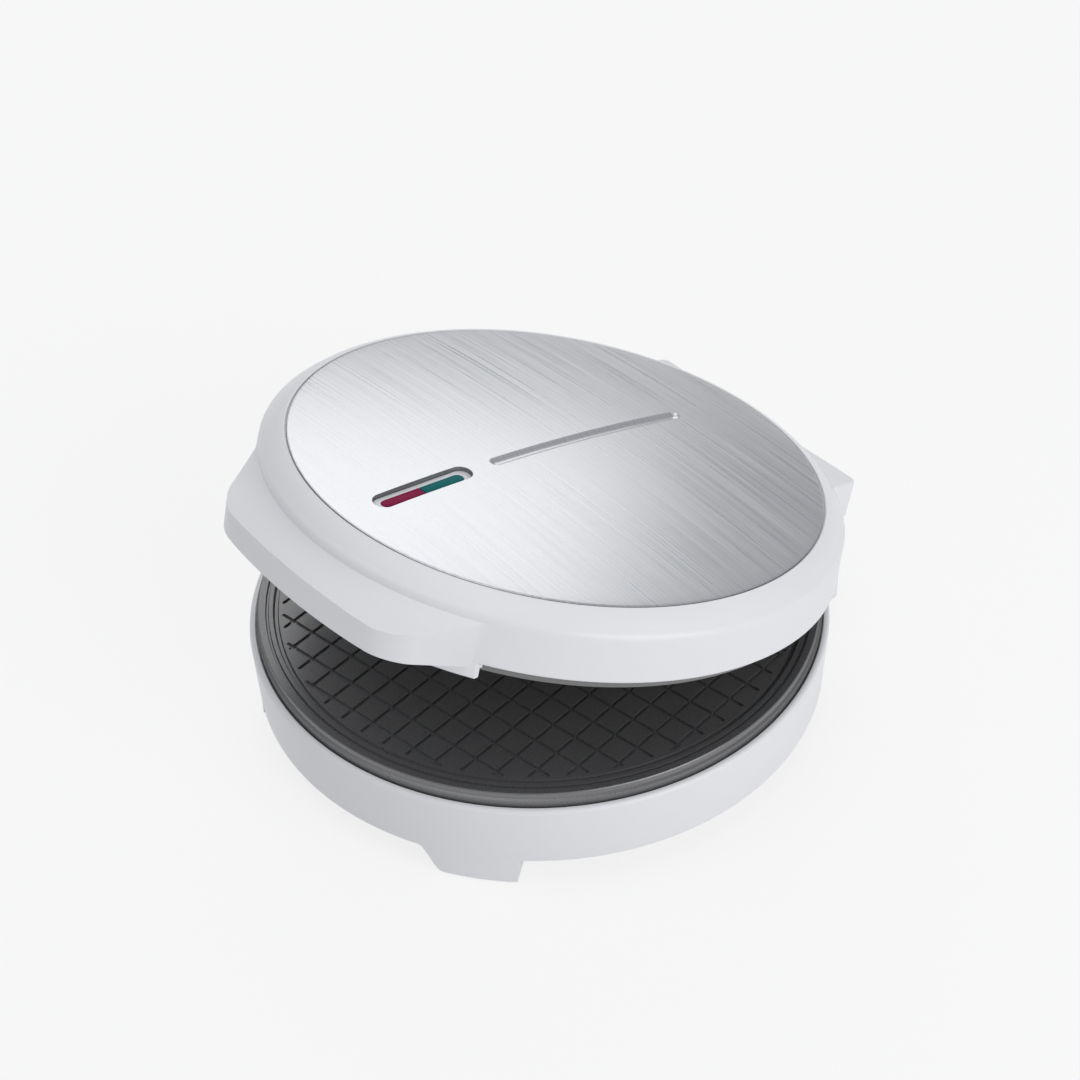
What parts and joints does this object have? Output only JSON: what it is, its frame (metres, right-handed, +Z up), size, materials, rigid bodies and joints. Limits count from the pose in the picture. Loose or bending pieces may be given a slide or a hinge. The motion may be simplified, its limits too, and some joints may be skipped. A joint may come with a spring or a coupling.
{
  "type": "waffle maker",
  "caption": "Round countertop waffle maker with a drum base, hinged lid with front handle, domed steel top and lamp window, stored ajar.",
  "frame": {"origin": "middle of the footprint's bounding box, on the surface that the foot pads stand on", "axes": "+Z up, -Y towards the handle at the front, +Y towards the hinge, +X to the right seen from the front"},
  "size_m": [0.203, 0.2188, 0.118],
  "materials": {
    "white_plastic": "satin white moulding",
    "pad_rubber": "matt",
    "cover_plastic": "matt white moulding",
    "inner_plastic": "matt",
    "zinc_steel": "bright zinc",
    "nonstick_plate": "satin black non-stick coating",
    "element_metal": "oxidised tube",
    "reflector_aluminium": "mill finish",
    "switch_metal": "plain",
    "brushed_steel": "brushed across the lid",
    "red_lens": "clear tinted",
    "green_lens": "clear tinted",
    "lamp_glass": "clear"
  },
  "bodies": {
    "base": {"base_shell": "white_plastic", "foot_pads": "pad_rubber", "bottom_cover": "cover_plastic", "bottom_cover_screws": "zinc_steel", "cord_inlet_bush": "pad_rubber", "terminal_block": "inner_plastic", "hinge_pin": "zinc_steel", "hinge_pin_clips": "zinc_steel", "lower_cooking_plate": "nonstick_plate", "lower_heating_element": "element_metal", "lower_element_clamps": "zinc_steel", "lower_clamp_screws": "zinc_steel", "lower_heat_reflector": "reflector_aluminium", "lower_reflector_screws": "zinc_steel", "thermal_fuse": "switch_metal", "lower_plate_screws": "zinc_steel"},
    "lid": {"lid_shell": "white_plastic", "steel_top_plate": "brushed_steel", "lamp_bezel": "white_plastic", "power_lens": "red_lens", "ready_lens": "green_lens", "lamp_holder": "inner_plastic", "power_lamp": "lamp_glass", "ready_lamp": "lamp_glass", "upper_cooking_plate": "nonstick_plate", "upper_heating_element": "element_metal", "upper_element_clamps": "zinc_steel", "upper_clamp_screws": "zinc_steel", "upper_heat_reflector": "reflector_aluminium", "upper_reflector_screws": "zinc_steel", "thermostat": "switch_metal", "upper_plate_screws": "zinc_steel"}
  },
  "joints": [
    {"name": "lid_hinge", "type": "hinge", "parent": "base", "child": "lid", "pos_m": [0, 0.10292, 0.0414], "axis": [-1, 0, 0], "range_deg": [-14.5, 85.5]}
  ]
}
